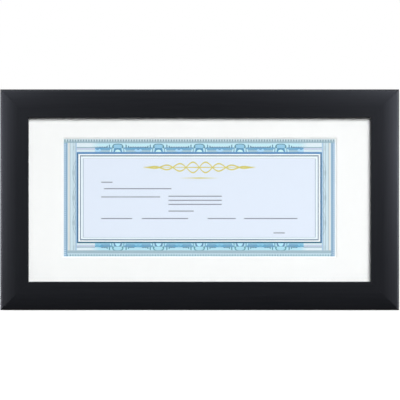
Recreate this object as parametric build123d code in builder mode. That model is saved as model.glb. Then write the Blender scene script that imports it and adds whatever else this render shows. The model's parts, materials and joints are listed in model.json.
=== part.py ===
"""Certificate frame: mitred moulding, glazing, window mat, certificate, back panel, turn buttons and easel.

Millimetres. X runs across the frame, +Y points from the front to the back, +Z is up.
The origin is under the middle of the frame, at the height of its lower edge.
Depths are counted forwards from the rails' back, and reaches backwards from it.
"""

import os
from math import cos, radians, sin, sqrt

from build123d import *

# Insert: the sheets that lie in the rabbet
PANE_WIDTH = 254.0
PANE_HEIGHT = 127.0
PANE_CLEARANCE = 0.8  # between the sheets' edges and the rabbet wall
GLAZING_THICKNESS = 2.0
MAT_THICKNESS = 0.9
MAT_BEVEL_ANGLE = 45.0
CERTIFICATE_WIDTH = 203.2
CERTIFICATE_HEIGHT = 88.9
CERTIFICATE_THICKNESS = 0.2
CERTIFICATE_RISE = 1.5  # its centre above the pane's centre
SIDE_COVER = 4.6  # mat over the certificate's left and right edges
EDGE_COVER = 2.45  # mat over its upper and lower edges
FILLER_THICKNESS = 3.5
PANEL_THICKNESS = 3.0
PANEL_RECESS = 0.2  # back panel's rear face inside the rails' back

# Moulding
RAIL_WIDTH = 20.3
LIP_OVERLAP = 5.1  # lip's cover over the edge of the pane
LIP_THICKNESS = 6.0
FACE_FLAT = 7.3  # flat stretch of the face beside the sight edge
FACE_CROWN = 2.2  # fall of the face from the flat to the outer edge
SHOULDER_RADIUS = 2.5
SIGHT_EDGE_RADIUS = 0.8
BACK_EDGE_RADIUS = 0.6

# V-nails across the mitres
V_NAIL_DEPTH = 7.0
V_NAIL_REACH = 3.0  # along the mitre
V_NAIL_SPREAD = 4.0  # to each side of the mitre
V_NAIL_STEEL = 0.8
V_NAIL_MARGIN = 2.5  # from the rail's outer edge and from the rabbet

# Turn buttons and their screws
BUTTON_SPACING = 150.0  # between the two buttons of a long rail
BUTTON_THICKNESS = 1.0
BUTTON_HUB_RADIUS = 4.6
BUTTON_TIP_RADIUS = 3.4
BUTTON_BITE = 6.5  # tongue's reach over the back panel
BUTTON_RIB_WIDTH = 2.6
BUTTON_RIB_HEIGHT = 0.5
BUTTON_RIB_SLOPE = 45.0
BUTTON_RIB_GAP = 0.5  # between the screw's head and the rib
BUTTON_PLAY = 0.1  # under the button and under the screw's head
BUTTON_BORE_PLAY = 0.08
SCREW_SHANK_RADIUS = 1.4
SCREW_HEAD_RADIUS = 3.0
SCREW_HEAD_HEIGHT = 1.8
SCREW_LENGTH = 9.0  # in the rail
SCREW_TIP = 2.2
FASTENER_FIT = 0.05  # round a shank in its own hole

# Sawtooth hanger and its nails
HANGER_LENGTH = 44.0
HANGER_HEIGHT = 9.0
HANGER_STEEL = 0.8
HANGER_RISE = 1.8  # room behind the toothed bridge
HANGER_FOOT = 8.0  # flat end that lies on the rail
HANGER_RAMP = 2.0
HANGER_CORNER_RADIUS = 2.0
TOOTH_PITCH = 2.0
TOOTH_DEPTH = 1.3
TOOTH_TIP = 0.4  # flat left between two notches
NAIL_SHANK_RADIUS = 0.7
NAIL_HEAD_RADIUS = 1.9
NAIL_HEAD_HEIGHT = 0.7
NAIL_LENGTH = 8.0  # in the rail

# Easel leg and its hinge
EASEL_AXIS_DROP = 22.0  # hinge axis below the panel's upper edge
EASEL_OPEN_ANGLE = 35.0
LEG_THICKNESS = 3.0
LEG_TOP_WIDTH = 38.0
LEG_FOOT_WIDTH = 58.0
LEG_FOOT_LIFT = 3.0  # folded foot above the frame's lower edge
LEG_FOOT_RADIUS = 4.0
LEG_GAP = 0.4  # folded leg behind the rails' back
STOP_PLAY = 0.05  # left at the open stop
LEAF_THICKNESS = 0.8
LEAF_WIDTH = 24.0
LEAF_CORNER_RADIUS = 1.5
FIXED_LEAF_HEIGHT = 15.0  # above the hinge axis
LEG_LEAF_HEIGHT = 20.0  # below the hinge axis
KNUCKLE_GAP = 0.3
KNUCKLE_CLEARANCE = 0.4  # round the knuckles, in the leaves and in the leg
PIN_PLAY = 0.06
PIN_HEAD_LENGTH = 0.6
PIN_HEAD_STEP = 0.5
RIVET_SHANK_RADIUS = 1.3
RIVET_HEAD_RADIUS = 2.4
RIVET_HEAD_HEIGHT = 0.9
RIVET_SPACING = 15.0

# Outer size and the depths of the sheets' front faces
FRAME_WIDTH = PANE_WIDTH + 2 * (RAIL_WIDTH - LIP_OVERLAP)
FRAME_HEIGHT = PANE_HEIGHT + 2 * (RAIL_WIDTH - LIP_OVERLAP)
MIDDLE = FRAME_HEIGHT / 2
BACK_LAND = RAIL_WIDTH - LIP_OVERLAP - PANE_CLEARANCE
PANEL_FRONT = PANEL_RECESS + PANEL_THICKNESS
FILLER_FRONT = PANEL_FRONT + FILLER_THICKNESS
CERTIFICATE_FRONT = FILLER_FRONT + CERTIFICATE_THICKNESS
MAT_FRONT = CERTIFICATE_FRONT + MAT_THICKNESS
GLAZING_FRONT = MAT_FRONT + GLAZING_THICKNESS
RAIL_DEPTH = GLAZING_FRONT + LIP_THICKNESS

# Reaches behind the rails' back, and the place of that back
BUTTON_REAR = BUTTON_PLAY + BUTTON_THICKNESS
SCREW_SEAT = BUTTON_REAR + BUTTON_PLAY
LEG_REAR = LEG_GAP + LEG_THICKNESS
LEG_LEAF_REAR = LEG_REAR + LEAF_THICKNESS
FIXED_LEAF_REAR = LEAF_THICKNESS - PANEL_RECESS
BACK_Y = (RAIL_DEPTH - LEG_LEAF_REAR - RIVET_HEAD_HEIGHT) / 2

# Hinge of the easel: its knuckles fill the space from the panel to the rear of the leg's leaf
EASEL_AXIS = MIDDLE + PANE_HEIGHT / 2 - EASEL_AXIS_DROP
KNUCKLE_RADIUS = (PANEL_RECESS + LEG_LEAF_REAR) / 2
KNUCKLE_LENGTH = (LEAF_WIDTH - 2 * KNUCKLE_GAP) / 3
KNUCKLE_STEP = KNUCKLE_LENGTH + KNUCKLE_GAP
PIN_BORE_RADIUS = KNUCKLE_RADIUS - LEAF_THICKNESS
PIN_RADIUS = PIN_BORE_RADIUS - PIN_PLAY
AXIS_Y = BACK_Y - PANEL_RECESS + KNUCKLE_RADIUS
LEAF_START = KNUCKLE_RADIUS + KNUCKLE_CLEARANCE
# The leg's horns meet the panel when the leg is fully open
HORN_REST = KNUCKLE_RADIUS - PANEL_RECESS - LEG_GAP
HORN_SWING = KNUCKLE_RADIUS - STOP_PLAY - HORN_REST * cos(radians(EASEL_OPEN_ANGLE))
HORN_HEIGHT = HORN_SWING / sin(radians(EASEL_OPEN_ANGLE))

# Places of the hardware, as X and Z
RAIL_PIVOT = BACK_LAND / 2
BUTTON_REACH = BACK_LAND / 2 + PANE_CLEARANCE + BUTTON_BITE - BUTTON_TIP_RADIUS
BUTTON_RIB_START = SCREW_HEAD_RADIUS + BUTTON_RIB_GAP
BUTTON_RIB_END = BUTTON_REACH + BUTTON_RIB_WIDTH / 2
HANGER_MIDDLE = FRAME_HEIGHT - BACK_LAND / 2
NAIL_X = (HANGER_LENGTH - HANGER_FOOT) / 2
NAIL_SPOTS = [(-NAIL_X, HANGER_MIDDLE), (NAIL_X, HANGER_MIDDLE)]
PANEL_RIVET_Z = EASEL_AXIS + (LEAF_START + FIXED_LEAF_HEIGHT) / 2
PANEL_RIVET_SPOTS = [(-RIVET_SPACING / 2, PANEL_RIVET_Z), (RIVET_SPACING / 2, PANEL_RIVET_Z)]
LEG_RIVET_Z = EASEL_AXIS - (LEAF_START + LEG_LEAF_HEIGHT) / 2
LEG_RIVET_SPOTS = [(-RIVET_SPACING / 2, LEG_RIVET_Z), (RIVET_SPACING / 2, LEG_RIVET_Z)]
BUTTON_HIGH = FRAME_HEIGHT - RAIL_PIVOT
BUTTON_SIDE = FRAME_WIDTH / 2 - RAIL_PIVOT
# Each button's pivot and the direction of its tongue
BUTTONS = {
    "turn_button_top_left": (Vector(-BUTTON_SPACING / 2, BUTTON_HIGH), Vector(0, -1)),
    "turn_button_top_right": (Vector(BUTTON_SPACING / 2, BUTTON_HIGH), Vector(0, -1)),
    "turn_button_bottom_left": (Vector(-BUTTON_SPACING / 2, RAIL_PIVOT), Vector(0, 1)),
    "turn_button_bottom_right": (Vector(BUTTON_SPACING / 2, RAIL_PIVOT), Vector(0, 1)),
    "turn_button_left": (Vector(-BUTTON_SIDE, MIDDLE), Vector(1, 0)),
    "turn_button_right": (Vector(BUTTON_SIDE, MIDDLE), Vector(-1, 0)),
}
SCREW_SPOTS = [(pivot.X, pivot.Y) for pivot, tongue in BUTTONS.values()]


def layer(depth):
    """Plane facing the front, at this depth in front of the rails' back. Its axes are X and Z."""
    return Plane.front.offset(depth - BACK_Y)


def fastener(shank, head, seat, top, length, tip=0.0):
    """A screw, nail or rivet along Y: its flat head on a seat behind the rails' back, its end at a depth."""
    with BuildPart() as body:
        with BuildSketch(Plane.XY):
            with BuildLine():
                Polyline((0, -length), (shank, tip - length), (shank, seat), (head, seat))
                Polyline((head, seat), (head, seat + top), (0, seat + top), (0, -length))
            make_face()
        revolve(axis=Axis.Y)
    return body.part


os.makedirs("parts", exist_ok=True)

# Glazing against the lip
with BuildPart() as glazing:
    with BuildSketch(layer(MAT_FRONT)):
        with Locations((0, MIDDLE)):
            Rectangle(PANE_WIDTH, PANE_HEIGHT)
    extrude(amount=GLAZING_THICKNESS)
glazing.part.label = "glazing"
export_step(glazing.part, "parts/glazing.step")

# Mat, with a window whose bevelled sides open to the front
with BuildPart() as mat_board:
    with BuildSketch(layer(CERTIFICATE_FRONT)):
        with Locations((0, MIDDLE)):
            Rectangle(PANE_WIDTH, PANE_HEIGHT)
    extrude(amount=MAT_THICKNESS)
    with BuildSketch(layer(CERTIFICATE_FRONT)):
        with Locations((0, MIDDLE + CERTIFICATE_RISE)):
            Rectangle(CERTIFICATE_WIDTH - 2 * SIDE_COVER, CERTIFICATE_HEIGHT - 2 * EDGE_COVER)
    extrude(amount=MAT_THICKNESS, taper=-MAT_BEVEL_ANGLE, mode=Mode.SUBTRACT)
mat_board.part.label = "mat_board"
export_step(mat_board.part, "parts/mat_board.step")

# Certificate behind the mat's window
with BuildPart() as certificate:
    with BuildSketch(layer(FILLER_FRONT)):
        with Locations((0, MIDDLE + CERTIFICATE_RISE)):
            Rectangle(CERTIFICATE_WIDTH, CERTIFICATE_HEIGHT)
    extrude(amount=CERTIFICATE_THICKNESS)
certificate.part.label = "certificate"
export_step(certificate.part, "parts/certificate.step")

# Filler card, which presses the stack against the lip
with BuildPart() as filler_card:
    with BuildSketch(layer(PANEL_FRONT)):
        with Locations((0, MIDDLE)):
            Rectangle(PANE_WIDTH, PANE_HEIGHT)
    extrude(amount=FILLER_THICKNESS)
filler_card.part.label = "filler_card"
export_step(filler_card.part, "parts/filler_card.step")

# Back panel, drilled for the rivets of the fixed leaf
with BuildPart() as back_panel:
    with BuildSketch(layer(PANEL_RECESS)):
        with Locations((0, MIDDLE)):
            Rectangle(PANE_WIDTH, PANE_HEIGHT)
        with Locations(*PANEL_RIVET_SPOTS):
            Circle(RIVET_SHANK_RADIUS + FASTENER_FIT, mode=Mode.SUBTRACT)
    extrude(amount=PANEL_THICKNESS)
back_panel.part.label = "back_panel"
export_step(back_panel.part, "parts/back_panel.step")

# V-nails: chevrons astride each mitre, driven in flush from behind
NAIL_APEX_OUTER = V_NAIL_MARGIN * sqrt(2) + V_NAIL_SPREAD - V_NAIL_REACH
NAIL_APEX_INNER = (BACK_LAND - V_NAIL_MARGIN) * sqrt(2) - V_NAIL_SPREAD - V_NAIL_STEEL - V_NAIL_REACH
CORNERS = [
    Location((-FRAME_WIDTH / 2, 0), 45),
    Location((FRAME_WIDTH / 2, 0), 135),
    Location((FRAME_WIDTH / 2, FRAME_HEIGHT), 225),
    Location((-FRAME_WIDTH / 2, FRAME_HEIGHT), 315),
]
with BuildPart() as corner_v_nails:
    with BuildSketch(layer(0)):
        with Locations(*CORNERS):
            with Locations((NAIL_APEX_OUTER, 0), (NAIL_APEX_INNER, 0)):
                Polygon(
                    (0, 0),
                    (V_NAIL_REACH, -V_NAIL_SPREAD),
                    (V_NAIL_REACH + V_NAIL_STEEL, -V_NAIL_SPREAD),
                    (V_NAIL_STEEL, 0),
                    (V_NAIL_REACH + V_NAIL_STEEL, V_NAIL_SPREAD),
                    (V_NAIL_REACH, V_NAIL_SPREAD),
                    align=None,
                )
    extrude(amount=V_NAIL_DEPTH)
corner_v_nails.part.label = "corner_v_nails"
export_step(corner_v_nails.part, "parts/corner_v_nails.step")

# Rails: one crowned and rabbeted moulding, mitred at both ends and drilled from behind
FACE_TURN = (RAIL_WIDTH - FACE_FLAT, RAIL_DEPTH)
SHOULDER = (0, RAIL_DEPTH - FACE_CROWN)
SIGHT_EDGE = (RAIL_WIDTH, RAIL_DEPTH)
# Middle of each rail's outer edge, the direction towards the sight opening, and half the rail's length
RAILS = {
    "bottom_rail": (Vector(0, BACK_Y, 0), Vector(0, 0, 1), FRAME_WIDTH / 2),
    "top_rail": (Vector(0, BACK_Y, FRAME_HEIGHT), Vector(0, 0, -1), FRAME_WIDTH / 2),
    "left_stile": (Vector(-FRAME_WIDTH / 2, BACK_Y, MIDDLE), Vector(1, 0, 0), FRAME_HEIGHT / 2),
    "right_stile": (Vector(FRAME_WIDTH / 2, BACK_Y, MIDDLE), Vector(-1, 0, 0), FRAME_HEIGHT / 2),
}
for label, (edge, inward, half_length) in RAILS.items():
    along = inward.cross(Vector(0, -1, 0))
    with BuildPart() as rail:
        with BuildSketch(Plane(edge, x_dir=inward, z_dir=along)) as profile:
            with BuildLine():
                Polyline(
                    SHOULDER,
                    (0, 0),
                    (BACK_LAND, 0),
                    (BACK_LAND, GLAZING_FRONT),
                    (RAIL_WIDTH, GLAZING_FRONT),
                    SIGHT_EDGE,
                    FACE_TURN,
                )
                TangentArc(FACE_TURN, SHOULDER, tangent=(-1, 0))
            make_face()
            fillet(profile.vertices().sort_by_distance(SHOULDER)[0], SHOULDER_RADIUS)
            fillet(profile.vertices().sort_by_distance(SIGHT_EDGE)[0], SIGHT_EDGE_RADIUS)
            fillet(profile.vertices().sort_by_distance((0, 0))[0], BACK_EDGE_RADIUS)
        extrude(amount=half_length, both=True)
        for end in (along, -along):
            split(bisect_by=Plane(edge + end * half_length, z_dir=inward + end), keep=Keep.BOTTOM)
        with BuildSketch(layer(0)):
            with Locations(*SCREW_SPOTS):
                Circle(SCREW_SHANK_RADIUS + FASTENER_FIT)
        extrude(amount=SCREW_LENGTH + FASTENER_FIT, mode=Mode.SUBTRACT)
        with BuildSketch(layer(0)):
            with Locations(*NAIL_SPOTS):
                Circle(NAIL_SHANK_RADIUS + FASTENER_FIT)
        extrude(amount=NAIL_LENGTH + FASTENER_FIT, mode=Mode.SUBTRACT)
        add(corner_v_nails.part, mode=Mode.SUBTRACT)
    rail.part.label = label
    export_step(rail.part, f"parts/{label}.step")

# Turn buttons: pressed steel tongues that swing over the back panel
for label, (pivot, tongue) in BUTTONS.items():
    rib_middle = pivot + tongue * (BUTTON_RIB_START + BUTTON_RIB_END) / 2
    rib_turn = Vector(1, 0).get_angle(tongue)
    with BuildPart() as turn_button:
        with BuildSketch(layer(-BUTTON_PLAY)):
            with Locations(pivot):
                Circle(BUTTON_HUB_RADIUS)
            with Locations(pivot + tongue * BUTTON_REACH):
                Circle(BUTTON_TIP_RADIUS)
            make_hull()
            with Locations(pivot):
                Circle(SCREW_SHANK_RADIUS + BUTTON_BORE_PLAY, mode=Mode.SUBTRACT)
        extrude(amount=-BUTTON_THICKNESS)
        # The pressed rib stands out behind, with sloping sides, and is hollow in front
        with BuildSketch(layer(-BUTTON_REAR)):
            with Locations(rib_middle):
                Rectangle(BUTTON_RIB_END - BUTTON_RIB_START, BUTTON_RIB_WIDTH, rotation=rib_turn)
        extrude(amount=-BUTTON_RIB_HEIGHT, taper=BUTTON_RIB_SLOPE)
        with BuildSketch(layer(-BUTTON_PLAY)):
            with Locations(rib_middle):
                Rectangle(BUTTON_RIB_END - BUTTON_RIB_START, BUTTON_RIB_WIDTH, rotation=rib_turn)
        extrude(amount=-BUTTON_RIB_HEIGHT, taper=BUTTON_RIB_SLOPE, mode=Mode.SUBTRACT)
    turn_button.part.label = label
    export_step(turn_button.part, f"parts/{label}.step")

# Screws that the buttons turn on
screw = fastener(
    SCREW_SHANK_RADIUS,
    SCREW_HEAD_RADIUS,
    SCREW_SEAT,
    SCREW_HEAD_HEIGHT,
    SCREW_LENGTH,
    SCREW_TIP,
)
with BuildPart() as turn_button_screws:
    with Locations(*[(x, BACK_Y, z) for x, z in SCREW_SPOTS]):
        add(screw)
turn_button_screws.part.label = "turn_button_screws"
export_step(turn_button_screws.part, "parts/turn_button_screws.step")

# Sawtooth hanger: a bridge on two flat feet, toothed along its lower edge
BRIDGE_HALF = HANGER_LENGTH / 2 - HANGER_FOOT - HANGER_RAMP
TOOTH_COUNT = int(2 * BRIDGE_HALF / TOOTH_PITCH)
with BuildPart() as sawtooth_hanger:
    with BuildSketch(Plane.XY.offset(HANGER_MIDDLE - HANGER_HEIGHT / 2)):
        with BuildLine():
            Polyline(
                (-HANGER_LENGTH / 2, BACK_Y),
                (-BRIDGE_HALF - HANGER_RAMP, BACK_Y),
                (-BRIDGE_HALF, BACK_Y + HANGER_RISE),
                (BRIDGE_HALF, BACK_Y + HANGER_RISE),
                (BRIDGE_HALF + HANGER_RAMP, BACK_Y),
                (HANGER_LENGTH / 2, BACK_Y),
            )
            offset(amount=HANGER_STEEL, side=Side.LEFT)
        make_face()
    extrude(amount=HANGER_HEIGHT)
    fillet(sawtooth_hanger.edges().filter_by(Axis.Y), HANGER_CORNER_RADIUS)
    with BuildSketch(layer(0)):
        with Locations((0, HANGER_MIDDLE - HANGER_HEIGHT / 2)):
            with GridLocations(TOOTH_PITCH, 1, TOOTH_COUNT, 1):
                Polygon(
                    ((TOOTH_TIP - TOOTH_PITCH) / 2, 0),
                    ((TOOTH_PITCH - TOOTH_TIP) / 2, 0),
                    (0, TOOTH_DEPTH),
                    align=None,
                )
        with Locations(*NAIL_SPOTS):
            Circle(NAIL_SHANK_RADIUS + FASTENER_FIT)
    extrude(amount=-HANGER_RISE - HANGER_STEEL, mode=Mode.SUBTRACT)
sawtooth_hanger.part.label = "sawtooth_hanger"
export_step(sawtooth_hanger.part, "parts/sawtooth_hanger.step")

# Nails of the hanger
nail = fastener(NAIL_SHANK_RADIUS, NAIL_HEAD_RADIUS, HANGER_STEEL, NAIL_HEAD_HEIGHT, NAIL_LENGTH)
with BuildPart() as hanger_nails:
    with Locations(*[(x, BACK_Y, z) for x, z in NAIL_SPOTS]):
        add(nail)
hanger_nails.part.label = "hanger_nails"
export_step(hanger_nails.part, "parts/hanger_nails.step")

# Easel leg: it widens to the foot and is notched for the hinge between two horns
NOTCH_WIDTH = LEAF_WIDTH + 2 * (PIN_HEAD_LENGTH + KNUCKLE_CLEARANCE)
with BuildPart() as easel_leg:
    with BuildSketch(layer(-LEG_GAP)) as outline:
        with BuildLine():
            Polyline(
                (0, LEG_FOOT_LIFT),
                (LEG_FOOT_WIDTH / 2, LEG_FOOT_LIFT),
                (LEG_TOP_WIDTH / 2, EASEL_AXIS + HORN_HEIGHT),
                (0, EASEL_AXIS + HORN_HEIGHT),
            )
            mirror(about=Plane.YZ)
        make_face()
        fillet(outline.vertices().group_by(Axis.Y)[0], LEG_FOOT_RADIUS)
        with Locations((0, EASEL_AXIS - LEAF_START)):
            Rectangle(
                NOTCH_WIDTH,
                LEAF_START + HORN_HEIGHT,
                align=(Align.CENTER, Align.MIN),
                mode=Mode.SUBTRACT,
            )
        with Locations(*LEG_RIVET_SPOTS):
            Circle(RIVET_SHANK_RADIUS + FASTENER_FIT, mode=Mode.SUBTRACT)
    extrude(amount=-LEG_THICKNESS)
easel_leg.part.label = "easel_leg"
export_step(easel_leg.part, "parts/easel_leg.step")

# Hinge leaf on the back panel, with the two outer knuckles
with BuildPart() as easel_fixed_leaf:
    with BuildSketch(layer(PANEL_RECESS)) as plate:
        with Locations((0, EASEL_AXIS + LEAF_START)):
            Rectangle(LEAF_WIDTH, FIXED_LEAF_HEIGHT - LEAF_START, align=(Align.CENTER, Align.MIN))
        fillet(plate.vertices().group_by(Axis.Y)[-1], LEAF_CORNER_RADIUS)
        with Locations((-KNUCKLE_STEP, EASEL_AXIS), (KNUCKLE_STEP, EASEL_AXIS)):
            Rectangle(KNUCKLE_LENGTH, LEAF_START, align=(Align.CENTER, Align.MIN))
        with Locations(*PANEL_RIVET_SPOTS):
            Circle(RIVET_SHANK_RADIUS + FASTENER_FIT, mode=Mode.SUBTRACT)
    extrude(amount=-LEAF_THICKNESS)
    with BuildSketch(Plane.YZ.offset(-KNUCKLE_STEP), Plane.YZ.offset(KNUCKLE_STEP)):
        with Locations((AXIS_Y, EASEL_AXIS)):
            Circle(KNUCKLE_RADIUS)
    extrude(amount=KNUCKLE_LENGTH / 2, both=True)
    with BuildSketch(Plane.YZ):
        with Locations((AXIS_Y, EASEL_AXIS)):
            Circle(PIN_BORE_RADIUS)
    extrude(amount=LEAF_WIDTH / 2, both=True, mode=Mode.SUBTRACT)
easel_fixed_leaf.part.label = "easel_fixed_leaf"
export_step(easel_fixed_leaf.part, "parts/easel_fixed_leaf.step")

# Hinge leaf on the leg, with the middle knuckle
with BuildPart() as easel_leg_leaf:
    with BuildSketch(layer(-LEG_REAR)) as plate:
        with Locations((0, EASEL_AXIS - LEAF_START)):
            Rectangle(LEAF_WIDTH, LEG_LEAF_HEIGHT - LEAF_START, align=(Align.CENTER, Align.MAX))
        fillet(plate.vertices().group_by(Axis.Y)[0], LEAF_CORNER_RADIUS)
        with Locations((0, EASEL_AXIS)):
            Rectangle(KNUCKLE_LENGTH, LEAF_START, align=(Align.CENTER, Align.MAX))
        with Locations(*LEG_RIVET_SPOTS):
            Circle(RIVET_SHANK_RADIUS + FASTENER_FIT, mode=Mode.SUBTRACT)
    extrude(amount=-LEAF_THICKNESS)
    with BuildSketch(Plane.YZ):
        with Locations((AXIS_Y, EASEL_AXIS)):
            Circle(KNUCKLE_RADIUS)
    extrude(amount=KNUCKLE_LENGTH / 2, both=True)
    with BuildSketch(Plane.YZ):
        with Locations((AXIS_Y, EASEL_AXIS)):
            Circle(PIN_BORE_RADIUS)
    extrude(amount=LEAF_WIDTH / 2, both=True, mode=Mode.SUBTRACT)
easel_leg_leaf.part.label = "easel_leg_leaf"
export_step(easel_leg_leaf.part, "parts/easel_leg_leaf.step")

# Hinge pin, headed outside the outer knuckles
with BuildPart() as easel_hinge_pin:
    with BuildSketch(Plane.YZ):
        with Locations((AXIS_Y, EASEL_AXIS)):
            Circle(PIN_RADIUS)
    extrude(amount=LEAF_WIDTH / 2, both=True)
    with BuildSketch(Plane.YZ.offset(LEAF_WIDTH / 2)):
        with Locations((AXIS_Y, EASEL_AXIS)):
            Circle(PIN_RADIUS + PIN_HEAD_STEP)
    extrude(amount=PIN_HEAD_LENGTH)
    mirror(about=Plane.YZ)
easel_hinge_pin.part.label = "easel_hinge_pin"
export_step(easel_hinge_pin.part, "parts/easel_hinge_pin.step")

# Rivets through the fixed leaf and the back panel, flush with the panel's front
panel_rivet = fastener(
    RIVET_SHANK_RADIUS, RIVET_HEAD_RADIUS, FIXED_LEAF_REAR, RIVET_HEAD_HEIGHT, PANEL_FRONT
)
with BuildPart() as easel_panel_rivets:
    with Locations(*[(x, BACK_Y, z) for x, z in PANEL_RIVET_SPOTS]):
        add(panel_rivet)
easel_panel_rivets.part.label = "easel_panel_rivets"
export_step(easel_panel_rivets.part, "parts/easel_panel_rivets.step")

# Rivets through the leg's leaf and the leg, flush with the leg's front
leg_rivet = fastener(
    RIVET_SHANK_RADIUS, RIVET_HEAD_RADIUS, LEG_LEAF_REAR, RIVET_HEAD_HEIGHT, -LEG_GAP
)
with BuildPart() as easel_leg_rivets:
    with Locations(*[(x, BACK_Y, z) for x, z in LEG_RIVET_SPOTS]):
        add(leg_rivet)
easel_leg_rivets.part.label = "easel_leg_rivets"
export_step(easel_leg_rivets.part, "parts/easel_leg_rivets.step")
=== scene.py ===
"""Certificate frame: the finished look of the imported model. Metres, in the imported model's own frame.

+X is to the right seen from the front, +Y points from the front to the back, +Z is up.
"""

import json
from contextlib import contextmanager
from math import asin, atan2, cos, pi, radians, sin

import bmesh
import bpy
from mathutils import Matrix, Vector


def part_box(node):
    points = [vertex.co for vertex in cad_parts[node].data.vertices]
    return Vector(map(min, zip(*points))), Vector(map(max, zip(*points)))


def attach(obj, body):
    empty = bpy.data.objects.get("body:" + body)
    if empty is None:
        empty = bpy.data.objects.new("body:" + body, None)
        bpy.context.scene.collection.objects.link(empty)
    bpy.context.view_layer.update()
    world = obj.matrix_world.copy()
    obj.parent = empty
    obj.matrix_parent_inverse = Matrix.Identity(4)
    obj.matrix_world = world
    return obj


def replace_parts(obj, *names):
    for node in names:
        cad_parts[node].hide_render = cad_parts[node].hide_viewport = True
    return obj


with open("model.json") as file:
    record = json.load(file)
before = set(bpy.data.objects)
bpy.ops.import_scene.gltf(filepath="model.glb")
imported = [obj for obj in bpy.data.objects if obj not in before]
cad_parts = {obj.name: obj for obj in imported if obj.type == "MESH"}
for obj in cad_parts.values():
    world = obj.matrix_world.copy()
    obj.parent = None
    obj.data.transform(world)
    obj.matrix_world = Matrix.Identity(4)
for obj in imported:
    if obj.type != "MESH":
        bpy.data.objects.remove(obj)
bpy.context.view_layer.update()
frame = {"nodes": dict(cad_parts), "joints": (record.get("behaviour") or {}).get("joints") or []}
NODES = frame["nodes"]
MM = 0.001

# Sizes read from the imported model
FRAME_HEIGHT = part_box("top_rail")[1].z
FRAME_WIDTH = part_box("right_stile")[1].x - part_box("left_stile")[0].x
HALF_WIDTH = FRAME_WIDTH / 2
MIDDLE = FRAME_HEIGHT / 2
RAIL_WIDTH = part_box("bottom_rail")[1].z
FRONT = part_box("bottom_rail")[0].y
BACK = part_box("bottom_rail")[1].y
GLASS_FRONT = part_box("glazing")[0].y
PANE_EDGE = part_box("glazing")[0].z
PIVOTS = {joint["child"]: Vector(joint["pos_m"]) for joint in frame["joints"] if joint.get("continuous")}

# Moulding's section
PANE_CLEARANCE = 0.8 * MM
FACE_FLAT = 7.3 * MM
FACE_CROWN = 2.2 * MM
SHOULDER_RADIUS = 2.5 * MM
SIGHT_EDGE_RADIUS = 0.8 * MM
BACK_EDGE_RADIUS = 0.6 * MM
MITRE_ARRIS = 0.12 * MM
MITRE_FACING = sin(pi / 8)  # least share of X in the normal of a mitre's face
POCKET_DEPTH = 0.2 * MM  # of the V-nails' cutter behind the rails' back
CROWN_STEPS = 16
ROUND_STEPS = 8

# Hardware
SCREW_HEAD_RADIUS = 3.0 * MM
SCREW_HEAD_HEIGHT = 1.8 * MM
SCREW_SHANK_RADIUS = 1.4 * MM
SCREW_DOME = 1.3 * MM
SCREW_TIP = 2.2 * MM
POINT_SHARE = 0.12  # of the shank, left at a screw's point
RECESS_WIDTH = 0.75 * MM
RECESS_ARM = 0.95 * MM
RECESS_DEPTH = 1.0 * MM
RECESS_TAPER = 0.45
NAIL_HEAD_HEIGHT = 0.7 * MM
NAIL_SHANK_RADIUS = 0.7 * MM
NAIL_DOME = 0.5 * MM
RIVET_HEAD_HEIGHT = 0.9 * MM
RIVET_SHANK_RADIUS = 1.3 * MM
RIVET_DOME = 0.85 * MM
DIMPLE_RIM = 0.5 * MM
DIMPLE_DEPTH = 0.35 * MM
DIMPLE_TAPER = 0.7
BUTTON_TIP_RADIUS = 3.4 * MM
BUTTON_BORE = 1.48 * MM
BUTTON_RIM = 0.25 * MM
RIB_WIDTH = 2.6 * MM
RIB_HEIGHT = 0.5 * MM
RIB_GAP = 0.5 * MM  # between the screw's head and the rib
RIB_SOFTNESS = 0.2 * MM
RIB_ROOT = 0.1 * MM  # of the rib inside the plate
STEEL_EDGE = 0.12 * MM
BOARD_EDGE = 0.3 * MM
RIM_STEPS = 3
EDGE_STEPS = 2
BUTTON_SIDES = 48
BORE_CUTTER_PLATES = 4  # depth of the bore's cutter, in plate thicknesses
FASTENER_SIDES = 32
FASTENER_TURN = radians(37)  # from each screw to the next
# Stamped and bent steel pieces, with the bodies that carry them
STAMPED = {
    "sawtooth_hanger": "frame",
    "easel_fixed_leaf": "frame",
    "easel_hinge_pin": "frame",
    "easel_leg_leaf": "easel",
}

# Tolerances of the modelling
NEAR = 0.01 * MM
FACING = 0.9  # least share of an axis in the normal of a face that looks along it
FLAT_ANGLE = radians(1)
SHARP_ANGLE = radians(30)
SHADING_ANGLE = radians(40)

# Certificate's print, in millimetres from the middle of the sheet
PER_METRE = 1000.0
PRINT_WIDTH = 193.5
PRINT_SHIFT = -0.26  # of the print's middle, across the sheet
PRINT_TOP = 41.7
PRINT_BOTTOM = -41.95
INK_EDGE = 0.12  # width over which an ink fades out

# Camera, from the frame's place in the photograph of PHOTO_SIDE pixels
PHOTO_SIDE = 400
PHOTO_LEFT = 0.15
PHOTO_RIGHT = 399.19
PHOTO_MIDDLE_Y = 199.75
CAMERA_DISTANCE = 3.0
CAMERA_REACH = 50.0
SENSOR = 36.0

# Studio
FLOOR_SIDE = 12.0
FLOOR_WHITE = 0.5  # least share of plain white in the floor's look, close to the frame
FLOOR_FADE = 0.6  # gain of that share, per metre from the frame
WORLD_LIGHT = 0.05  # of the white surroundings, on surfaces

# Places of colours and shaders among the Mix nodes' sockets
FIRST_COLOUR = 6
SECOND_COLOUR = 7
MIXED_COLOUR = 2
FIRST_SHADER = 1
SECOND_SHADER = 2

# Places of a mottled finish's two colours on noise from 0 to 1
DARK_STOP = 0.3
PALE_STOP = 0.7

# Stretch of the wood's grain
ALONG_X = (0.04, 1, 1)
ALONG_Z = (1, 1, 0.04)

# Curve of a screen's colours
SCREEN_WHITE = 255
CURVE_OFFSET = 0.055
CURVE_POWER = 2.4


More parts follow.
